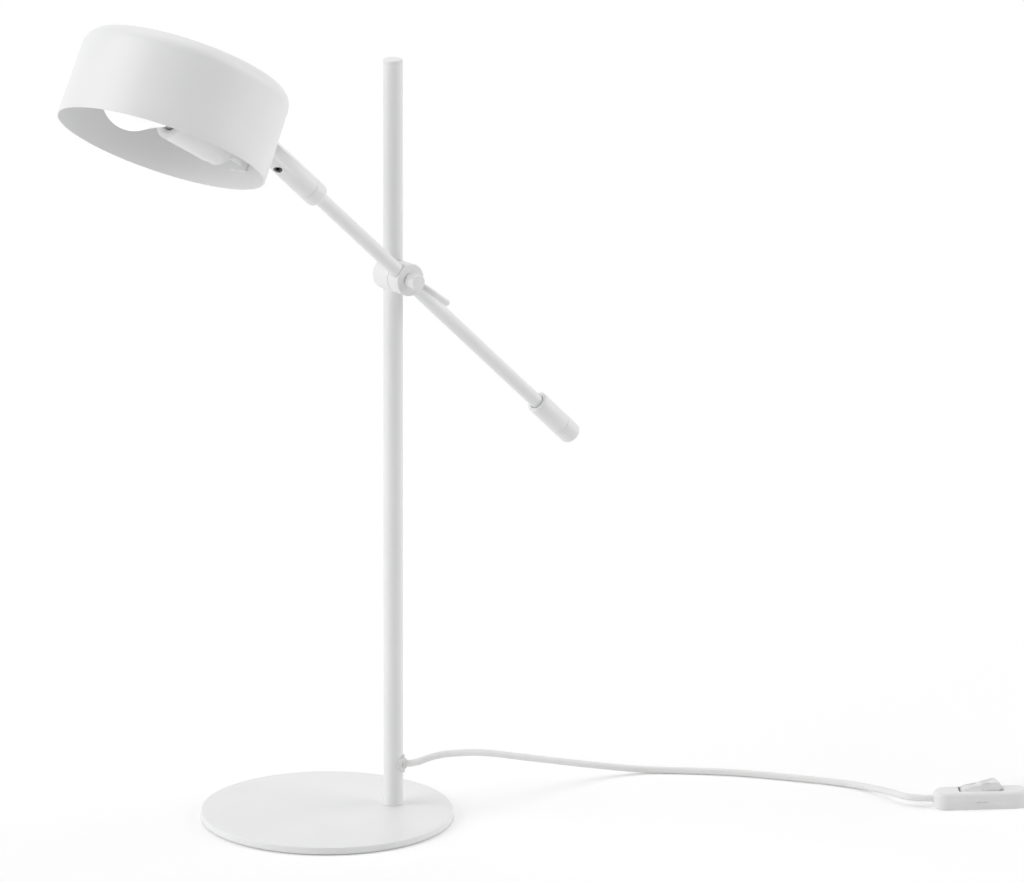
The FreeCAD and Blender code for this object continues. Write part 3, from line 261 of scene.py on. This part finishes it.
def turnedMesh(name, profile, place, around=128):
    # surface of revolution: (r cos a, r sin a, h) for each (r, h) of the profile, moved by a matrix.
    # A closed profile gives a ring or tube; one that ends on the axis gets a single point there.
    profile = np.array(profile, float) * mm
    closed = profile[0, 0] > 0 and profile[-1, 0] > 0
    ring = profile[profile[:, 0] > 0]
    angles = np.linspace(0, 2 * np.pi, around, endpoint=False)
    grid = np.stack([np.outer(ring[:, 0], np.cos(angles)), np.outer(ring[:, 0], np.sin(angles)),
                     np.repeat(ring[:, 1:2], around, axis=1)], axis=-1)
    rows = len(ring)
    points = grid.reshape(-1, 3)
    i = np.arange(rows if closed else rows - 1)[:, None]
    j = np.arange(around)[None, :]
    nextRow, nextColumn = (i + 1) % rows, (j + 1) % around
    quads = np.stack([i * around + j, i * around + nextColumn,
                      nextRow * around + nextColumn, nextRow * around + j], axis=-1).reshape(-1, 4)
    faces = quads.tolist()
    for end, row in ((0, 0), (-1, rows - 1)):
        if profile[end, 0] == 0:
            pole = len(points)
            points = np.vstack([points, [[0, 0, profile[end, 1]]]])
            k = np.arange(around)
            edge = row * around + k
            after = row * around + (k + 1) % around
            fan = (pole, after, edge) if end == 0 else (pole, edge, after)
            faces += np.stack([np.broadcast_to(f, around) for f in fan], axis=-1).tolist()
    matrix = np.array(place)
    points = points @ matrix[:3, :3].T + matrix[:3, 3]
    mesh = bpy.data.meshes.new(name)
    mesh.from_pydata(points.tolist(), [], faces)
    return outward(mesh)


def outward(mesh):
    # joins coincident points and turns all faces outward
    form = bmesh.new()
    form.from_mesh(mesh)
    bmesh.ops.remove_doubles(form, verts=form.verts, dist=2e-7)
    bmesh.ops.recalc_face_normals(form, faces=form.faces)
    form.to_mesh(mesh)
    form.free()
    return mesh


def cutAway(mesh, cutter):
    # the mesh less the cutter, as a new mesh
    whole, tool = bpy.data.objects.new("whole", mesh), bpy.data.objects.new("tool", cutter)
    for thing in (whole, tool):
        bpy.context.scene.collection.objects.link(thing)
    cut = whole.modifiers.new("cut", "BOOLEAN")
    cut.operation, cut.solver, cut.object = "DIFFERENCE", "EXACT", tool
    result = bpy.data.meshes.new_from_object(whole.evaluated_get(bpy.context.evaluated_depsgraph_get()))
    result.name = mesh.name
    for thing in (whole, tool):
        bpy.data.objects.remove(thing)
    return result


def arc(centre, radius, start, end, steps=8):
    # points of a circle's arc in a profile: centre + radius (cos t, sin t), t in degrees
    t = np.radians(np.linspace(start, end, steps))
    return [tuple(p) for p in np.stack([centre[0] + radius * np.cos(t), centre[1] + radius * np.sin(t)], -1)]


def finishedNode(node, finish=None):
    # the node's own shape, merged and smooth-shaded, standing in its place
    mesh = frame["nodes"][node].data.copy()
    mesh.name = node + "_finished"
    form = bmesh.new()
    form.from_mesh(mesh)
    bmesh.ops.remove_doubles(form, verts=form.verts, dist=2e-6)
    form.to_mesh(mesh)
    form.free()
    return addPiece(node + "_finished", mesh, [node], finish)


# cords, first with the camera
leadShape = {
    "diameter": 5.0, "exit": 9.6, "coilRadius": 38.2, "coilPitch": 5.5, "coilTurns": 6.25, "layerTurns": 3.0,
    "coilRest": 0.5, "coilLeadIn": 47.0, "lastRun": 15.0, "stepsPerTurn": 16, "insideSwitch": 9.0,
    "beforeSwitch": 14.0, "afterSwitch": 10.0, "downToTable": 18.0,
    "free": [(64.2, -6.9, 37.4), (72.0, -9.3, 41.2), (83.0, -9.8, 43.2), (98.2, -5.0, 41.6),
             (117.9, 5.0, 37.2), (147.5, 18.0, 27.6), (180.6, 30.8, 17.6), (214.6, 40.6, 8.4),
             (246.7, 42.4, 2.5), (279.9, 31.0, 2.5), (312.1, 17.8, 2.5), (342.0, -1.5, 2.5),
             (368.5, -18.6, 2.5), (387.0, -35.5, 2.8), (399.5, -56.0, 4.2)]}


def switchPoint(distance, height):
    # the point at a distance along the switch from its near end, at a height above the table
    point = switchFrame @ Vector((distance * mm, 0, 0))
    return (point.x, point.y, height * mm)


def coilPoint(t, shape):
    # spiral in on the lower layer, up in a half turn, out on the upper: radius falls and rises by one
    # pitch a turn, height goes from one layer to the next as (1 - cos) / 2
    middle = shape["layerTurns"] + 0.25
    radius = shape["coilRadius"] - shape["coilPitch"] * (middle - abs(t - middle))
    climb = min(max((t - shape["layerTurns"]) / 0.5, 0), 1)
    lift = shape["coilPitch"] * (1 - math.cos(math.pi * climb)) / 2
    height = shape["coilRest"] + shape["diameter"] / 2 + lift
    angle = 2 * math.pi * t - math.pi / 2
    return Vector((radius * math.cos(angle), shape["coilRadius"] + radius * math.sin(angle), height)) * mm


def leadCurve(name, points, nodes, shape):
    # a smooth round lead along the points, in place of its plain tubes
    curve = bpy.data.curves.new(name, "CURVE")
    curve.dimensions = "3D"
    curve.bevel_depth = shape["diameter"] / 2 * mm
    curve.bevel_resolution = 7
    curve.use_fill_caps = True
    spline = curve.splines.new("NURBS")
    spline.points.add(len(points) - 1)
    for point, place in zip(spline.points, points):
        point.co = (*place, 1)
    spline.order_u = 3
    spline.use_endpoint_u = True
    spline.resolution_u = 10
    piece = bpy.data.objects.new(name, curve)
    bpy.context.scene.collection.objects.link(piece)
    curve.materials.append(materials["white_lead"])
    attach(piece, "stand")
    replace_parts(piece, *nodes)
    return piece


heading = math.radians(pose["grommetHeading"])
outOfPole = np.array([math.cos(heading), math.sin(heading), 0])
leadStart = np.array([pose["poleOffset"], 0, pose["grommetHeight"]]) + outOfPole * leadShape["exit"]
freePoints = [tuple(leadStart * mm)]
freePoints += [tuple(np.array(p) * mm) for p in leadShape["free"]]
entryHeight = pose["switchStart"][2]
freePoints += [switchPoint(-leadShape["beforeSwitch"], entryHeight),
               switchPoint(leadShape["insideSwitch"], entryHeight)]
lampLead = leadCurve("lampLead", freePoints, ["lamp_lead"], leadShape)

coilHeight = leadShape["coilRest"] + leadShape["diameter"] / 2
reach = pose["switchLength"] + leadShape["coilLeadIn"]
coilStart = Vector(switchPoint(reach + leadShape["diameter"], 0))
coilFrame = Matrix.Translation(coilStart) @ turn(pose["switchHeading"], "Z")
turns = np.arange(0, leadShape["coilTurns"] + 0.001, 1 / leadShape["stepsPerTurn"])
coilPoints = [tuple(coilFrame @ coilPoint(t, leadShape)) for t in turns]
coilEnd = coilPoint(leadShape["coilTurns"], leadShape) + Vector((0, leadShape["lastRun"], 0)) * mm
tailPoints = [switchPoint(pose["switchLength"] - leadShape["insideSwitch"], entryHeight),
              switchPoint(pose["switchLength"] + leadShape["afterSwitch"], entryHeight),
              switchPoint(reach - leadShape["downToTable"], coilHeight), switchPoint(reach, coilHeight)]
halfRun = Vector((0, leadShape["lastRun"] / 2, 0)) * mm
tailPoints += coilPoints + [tuple(coilFrame @ (coilEnd - halfRun)), tuple(coilFrame @ coilEnd)]
mainsLead = leadCurve("mainsLead", tailPoints, ["mains_lead", "lead_coil"], leadShape)
print("leads laid")

# base and pole
base = {"diameter": 180.0, "pad": 1.0, "thickness": 5.0, "edgeRound": 1.0, "lowerEdge": 0.4,
        "boltHole": 4.2, "headHole": 7.2, "headDepth": 2.9}


def baseDisc(size):
    # profile of the plate: flat top, rounded upper edge, upright side, small lower round
    r, low, high = size["diameter"] / 2, size["pad"], size["pad"] + size["thickness"]
    profile = [(0, high), (r * 0.4, high), (r * 0.8, high)]
    profile += arc((r - size["edgeRound"], high - size["edgeRound"]), size["edgeRound"], 90, 0)
    profile += arc((r - size["lowerEdge"], low + size["lowerEdge"]), size["lowerEdge"], 0, -90, 5)
    return profile + [(r * 0.8, low), (0, low)]


def boltHole(size):
    # profile of the hole under the pole: wide for the bolt's head, then narrow through the plate
    low, step, high = size["pad"], size["pad"] + size["headDepth"], size["pad"] + size["thickness"]
    return [(0, low - 1), (size["headHole"], low - 1), (size["headHole"], step), (size["boltHole"], step),
            (size["boltHole"], high + 1), (0, high + 1)]


baseMesh = turnedMesh("baseDisc", baseDisc(base), Matrix.Identity(4), 256)
addPiece("baseDisc", cutAway(baseMesh, turnedMesh("boltHole", boltHole(base), poleFrame, 64)), ["base_plate"])

pole = {"radius": 7.0, "bore": 6.0, "edge": 0.35, "foot": 6.0, "lowerTop": 386.5, "upperStart": 401.9,
        "top": 552.0, "cap": 2.0, "capRound": 1.2, "seamEdge": 0.15, "plug": 6.0, "plugGap": 0.02}


def tubeProfile(outer, inner, low, high, edge):
    # outer wall up, small rounds at both rims, inner wall down
    profile = arc((outer - edge, low + edge), edge, -90, 0, 4)
    profile += arc((outer - edge, high - edge), edge, 0, 90, 4)
    return profile + [(inner, high), (inner, low)]


lower = turnedMesh("poleLower", tubeProfile(pole["radius"], pole["bore"], pole["foot"], pole["lowerTop"],
                                            pole["edge"]), poleFrame, 96)
addPiece("poleLower", lower, ["lower_pole_tube"])
capBase = pole["top"] - pole["cap"]
upper = turnedMesh("poleUpper", tubeProfile(pole["radius"], pole["bore"], pole["upperStart"], capBase,
                                            pole["seamEdge"]), poleFrame, 96)
addPiece("poleUpper", upper, ["upper_pole_tube"])


def capProfile(size, low):
    # closed top with a rounded edge, a small round at the seam, and a plug that goes into the tube
    r, big, small = size["radius"], size["capRound"], size["seamEdge"]
    plug = size["bore"] - size["plugGap"]
    profile = [(0, size["top"]), (r * 0.5, size["top"])]
    profile += arc((r - big, size["top"] - big), big, 90, 0)
    profile += arc((r - small, low + small), small, 0, -90, 3)
    return profile + [(plug, low), (plug, low - size["plug"]), (0, low - size["plug"])]


addPiece("poleCap", turnedMesh("poleCap", capProfile(pole, capBase), poleFrame, 96), ["pole_top_cap"])
print("base and pole made")

# counterweight and collar
weight = {"start": 160.2, "seam": 188.7, "end": 204.7, "radius": 8.0, "edge": 0.5, "endRound": 4.0,
          "mouth": 5.45, "mouthDepth": 3.0, "rod": 5.02, "stud": 4.0, "studLength": 8.0, "studHole": 4.02,
          "studHoleDepth": 9.0}


def weightBody(size):
    # profile of the body: rounded outer edges, the stud's hole from the seam, the rod's hole and its mouth
    r, e = size["radius"], size["edge"]
    inside, mouthEnd = size["seam"] - size["studHoleDepth"], size["start"] + size["mouthDepth"]
    profile = arc((r - e, size["start"] + e), e, -90, 0, 5) + arc((r - e, size["seam"] - e), e, 0, 90, 5)
    return profile + [(size["studHole"], size["seam"]), (size["studHole"], inside),
                      (size["rod"] + 0.001, inside - 0.001), (size["rod"], mouthEnd),
                      (size["mouth"], mouthEnd), (size["mouth"], size["start"])]


def weightCap(size):
    # profile of the end cap: its stud, a small round at the seam and a large one at the end
    r, e, big = size["radius"], size["edge"], size["endRound"]
    studEnd = size["seam"] - size["studLength"]
    profile = [(0, studEnd), (size["stud"], studEnd), (size["stud"], size["seam"])]
    profile += arc((r - e, size["seam"] + e), e, -90, 0, 5)
    profile += arc((r - big, size["end"] - big), big, 0, 90, 14)
    return profile + [(0, size["end"])]


armAxis = armFrame @ alongX
addPiece("weightBody", turnedMesh("weightBody", weightBody(weight), armAxis), ["counterweight_body"])
addPiece("weightCap", turnedMesh("weightCap", weightCap(weight), armAxis), ["counterweight_cap"])
rod = {"radius": 5.0, "stations": (6.0, 60.0, 120.0, 176.2)}
rodProfile = [(rod["radius"], h) for h in rod["stations"]]
rodProfile = [(0, rod["stations"][0])] + rodProfile + [(0, rod["stations"][-1])]
addPiece("weightRod", turnedMesh("weightRod", rodProfile, armAxis, 72), ["counterweight_rod"])

collar = {"start": -116.3, "end": -104.7, "radius": 8.75, "round": 2.6, "edge": 0.25, "rod": 5.02, "seat": 3.98,
          "seatDepth": 3.0}


def collarProfile(size):
    # sharp-edged at the neck and well rounded at the arm, with the arm's hole and the nipple's seat
    r, e, big, step = size["radius"], size["edge"], size["round"], size["start"] + size["seatDepth"]
    profile = arc((r - e, size["start"] + e), e, -90, 0, 4)
    profile += arc((r - big, size["end"] - big), big, 0, 90, 12)
    return profile + [(size["rod"], size["end"]), (size["rod"], step), (size["seat"], step),
                      (size["seat"], size["start"])]


addPiece("neckCollar", turnedMesh("neckCollar", collarProfile(collar), armAxis), ["neck_collar"])
print("counterweight and collar made")

# shade and bulb
shade = {"rimRadius": 75.0, "topRadius": 74.4, "height": 65.0, "edge": 12.0, "wall": 1.0, "rimRound": 0.45,
         "hingeToShade": 11.8, "hingeAboveRim": 38.4}


def shadeProfile(size):
    # outer wall from the rim up, quarter-round edge, flat top, then the same drawn in by the wall
    def side(inset):
        radius, high, edge = size["topRadius"] - inset, size["height"] - inset, size["edge"] - inset
        return arc((radius - edge, high - edge), edge, 0, 90, 20) + [(radius * 0.5, high), (0, high)]

    w, rim = size["wall"], size["rimRadius"]
    half = w / 2
    lip = arc((rim - half, half), half, 180, 360, 9)
    steps = np.linspace(0, 1, 8)[1:-1]
    rise = size["height"] - size["edge"] - half
    outer = [(rim + (size["topRadius"] - rim) * s, half + rise * s) for s in steps]
    inner = [(r - w, h) for r, h in outer]
    return side(w)[::-1] + inner[::-1] + lip + outer + side(0)


taper = (shade["rimRadius"] - shade["topRadius"]) / shade["height"]
wallRadius = shade["rimRadius"] - taper * shade["hingeAboveRim"]
shadePlace = headFrame @ shift(-shade["hingeToShade"] - wallRadius, 0, -shade["hingeAboveRim"])
addPiece("drumShade", turnedMesh("drumShade", shadeProfile(shade), shadePlace, 256), ["shade"])

bulb = {"centre": -37.0, "radius": 22.5, "meet": 60.0, "waist": 0.4, "neck": 8.2, "neckEnd": 32.2,
        "above": 22.3, "wall": 0.9}


def bulbProfile(size):
    # ball about the origin from its tip, then a nearly straight cone to the cap, along x
    ball = arc((0, 0), size["radius"], -90, 90 - size["meet"], 30)
    ball = [(0, ball[0][1])] + ball[1:]
    (r0, h0), (r1, h1) = ball[-1], (size["neck"], size["neckEnd"])
    s = np.linspace(0, 1, 10)[1:]
    waist = size["waist"] * np.sin(np.pi * s)
    neck = [(r0 + (r1 - r0) * t - w, h0 + (h1 - h0) * t) for t, w in zip(s, waist)]
    return ball + neck + [(size["neck"] - size["wall"], size["neckEnd"]), (0, size["neckEnd"] - 2)]


bulbPlace = headFrame @ shift(-shade["hingeToShade"] - wallRadius + bulb["centre"], 0,
                              -shade["hingeAboveRim"] + bulb["above"]) @ alongX
addPiece("golfBallBulb", turnedMesh("golfBallBulb", bulbProfile(bulb), bulbPlace, 128), ["bulb_glass"])

lockScrew = {"station": 150.4, "side": 23.0, "radius": 2.95, "face": 7.8, "length": 5.0, "edge": 0.35,
             "socket": 1.55, "socketDepth": 2.2}


def lockScrewMesh(size):
    # a short stud with a bevelled face, less a six-sided socket
    r, e, face, back = size["radius"], size["edge"], size["face"], size["face"] - size["length"]
    place = neckFrame @ shift(-size["station"], 0, 0) @ turn(180 - size["side"], "X")
    stud = turnedMesh("lockScrew", [(0, back), (r, back), (r, face - e), (r - e, face), (0, face)], place, 48)
    hollow = [(0, face - size["socketDepth"]), (size["socket"], face - size["socketDepth"]),
              (size["socket"], face + 1), (0, face + 1)]
    return cutAway(stud, turnedMesh("socket", hollow, place, 6))


print("shade and bulb made")

# plates under the rocker's ends, which narrow the gaps in the case
skirt = {"outer": 15.75, "wall": 0.8, "width": 10.8, "low": -14.0, "high": 10.0, "steps": 12,
         "pinHeight": 9.5, "restTurn": -13.0}


def skirtMesh(size):
    # two bent plates about the rocker's pins: (r cos t, y, r sin t) for the four corners (r, y) of
    # their section, one on either side
    place = switchFrame @ shift(pose["switchLength"] / 2, 0, size["pinHeight"]) @ turn(size["restTurn"], "Y")
    inner, half = size["outer"] - size["wall"], size["width"] / 2
    corners = np.array([(size["outer"], -half), (size["outer"], half), (inner, half), (inner, -half)])
    t = np.radians(np.linspace(size["low"], size["high"], size["steps"]))
    points, faces = [], []
    for side in (-1, 1):
        grid = np.stack([side * np.outer(np.cos(t), corners[:, 0]), np.tile(corners[:, 1], (len(t), 1)),
                         np.outer(np.sin(t), corners[:, 0])], axis=-1).reshape(-1, 3)
        first = len(points)
        points += grid.tolist()
        i, j = np.arange(len(t) - 1)[:, None] * 4, np.arange(4)[None, :]
        quads = np.stack([i + j, i + (j + 1) % 4, i + 4 + (j + 1) % 4, i + 4 + j], axis=-1).reshape(-1, 4)
        ends = [[first + k for k in range(4)], [len(points) - 1 - k for k in range(4)]]
        faces += (quads + first).tolist() + ends
    matrix = np.array(place)
    points = np.array(points) * mm @ matrix[:3, :3].T + matrix[:3, 3]
    mesh = bpy.data.meshes.new("rockerSkirts")
    mesh.from_pydata(points.tolist(), [], faces)
    return outward(mesh)


def addDetail(name, mesh, finish, body):
    # a small piece of the scene alone, which rides on a body
    mesh.shade_smooth()
    mesh.set_sharp_from_angle(angle=math.radians(32))
    mesh.materials.append(materials[finish])
    piece = bpy.data.objects.new(name, mesh)
    bpy.context.scene.collection.objects.link(piece)
    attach(piece, body)


addDetail("rockerSkirts", skirtMesh(skirt), "white_plastic", "rocker")
# the screw at the neck's end; its dark finish is partly its own black and partly painted shade of the hole it
# sits in
addDetail("neckLockScrew", lockScrewMesh(lockScrew), "black_screw_painted_shade", "neck")

# the other pieces keep the part's own shape
otherFinish = {"lampholder_bracket": "white_lacquer", "bracket_screws": "white_lacquer",
               "swivel_stub": "white_lacquer", "lampholder_nipple": "white_lacquer",
               "lampholder_shell": "zinc_steel"}
covered = {node for piece in bpy.data.objects for node in piece.get("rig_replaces", [])}
for node in frame["nodes"]:
    if node not in covered:
        finishedNode(node, otherFinish.get(node))
print("other pieces finished")

# floor and light
studio = {"floorSize": 12.0, "floorTone": 0.95, "seenTone": 0.94, "ambient": 0.27, "cameraLift": 0.165,
          "suns": {"leftSun": {"azimuth": -74, "elevation": 25, "strength": 0.50, "spread": 55},
                   "rightSun": {"azimuth": 92, "elevation": 25, "strength": 0.36, "spread": 55},
                   "backSun": {"azimuth": 180, "elevation": 72, "strength": 0.27, "spread": 60}}}


def seenDirectly(tree):
    # 1 for rays that come from the camera or by gloss or glass, else 0
    path = tree.nodes.new("ShaderNodeLightPath")
    first, second = tree.nodes.new("ShaderNodeMath"), tree.nodes.new("ShaderNodeMath")
    first.operation = second.operation = "MAXIMUM"
    tree.links.new(path.outputs["Is Camera Ray"], first.inputs[0])
    tree.links.new(path.outputs["Is Glossy Ray"], first.inputs[1])
    tree.links.new(first.outputs[0], second.inputs[0])
    tree.links.new(path.outputs["Is Transmission Ray"], second.inputs[1])
    return second.outputs[0]


def makeFloor(size):
    # plain floor for bounced light; rays from the camera see it lifted to white, with its shadow
    half = size["floorSize"] / 2
    mesh = bpy.data.meshes.new("floor")
    corners = [(-half, -half, 0), (half, -half, 0), (half, half, 0), (-half, half, 0)]
    mesh.from_pydata(corners, [], [(0, 1, 2, 3)])
    floor = bpy.data.objects.new("floor", mesh)
    bpy.context.scene.collection.objects.link(floor)
    material = bpy.data.materials.new("paleFloor")
    material.use_nodes = True
    tree = material.node_tree
    tree.nodes.clear()
    out = tree.nodes.new("ShaderNodeOutputMaterial")
    plain, bright = tree.nodes.new("ShaderNodeBsdfDiffuse"), tree.nodes.new("ShaderNodeBsdfDiffuse")
    plain.inputs["Color"].default_value = (size["floorTone"],) * 3 + (1,)
    bright.inputs["Color"].default_value = (size["seenTone"],) * 3 + (1,)
    glow = tree.nodes.new("ShaderNodeEmission")
    glow.inputs["Strength"].default_value = size["cameraLift"]
    both, pick = tree.nodes.new("ShaderNodeAddShader"), tree.nodes.new("ShaderNodeMixShader")
    tree.links.new(bright.outputs[0], both.inputs[0])
    tree.links.new(glow.outputs[0], both.inputs[1])
    tree.links.new(seenDirectly(tree), pick.inputs["Fac"])
    tree.links.new(plain.outputs[0], pick.inputs[1])
    tree.links.new(both.outputs[0], pick.inputs[2])
    tree.links.new(pick.outputs[0], out.inputs["Surface"])
    mesh.materials.append(material)


def makeSky(size):
    # white where it is seen, dim where it lights
    world = bpy.data.worlds.new("paleStudio")
    bpy.context.scene.world = world
    world.use_nodes = True
    tree = world.node_tree
    tree.nodes.clear()
    out = tree.nodes.new("ShaderNodeOutputWorld")
    dim, white = tree.nodes.new("ShaderNodeBackground"), tree.nodes.new("ShaderNodeBackground")
    dim.inputs["Strength"].default_value = size["ambient"]
    white.inputs["Strength"].default_value = 1.0
    for sky in (dim, white):
        sky.inputs["Color"].default_value = (1, 1, 1, 1)
    pick = tree.nodes.new("ShaderNodeMixShader")
    tree.links.new(seenDirectly(tree), pick.inputs["Fac"])
    tree.links.new(dim.outputs[0], pick.inputs[1])
    tree.links.new(white.outputs[0], pick.inputs[2])
    tree.links.new(pick.outputs[0], out.inputs["Surface"])


def makeSun(name, size):
    # soft light from one side; a white surface that faces it gets its strength
    a, e = math.radians(photoView["azimuth"] + size["azimuth"]), math.radians(size["elevation"])
    away = Vector((math.sin(a) * math.cos(e), -math.cos(a) * math.cos(e), math.sin(e)))
    data = bpy.data.lights.new(name, "SUN")
    data.energy, data.angle = math.pi * size["strength"], math.radians(size["spread"])
    light = bpy.data.objects.new(name, data)
    light.rotation_euler = away.to_track_quat("Z", "Y").to_euler()
    bpy.context.scene.collection.objects.link(light)


makeFloor(studio)
makeSky(studio)
for name, size in studio["suns"].items():
    makeSun(name, size)
scene = bpy.context.scene
scene.view_settings.view_transform = "Standard"
print("floor and lights made")


def plain(box):
    return [[float(v) for v in corner] for corner in box]
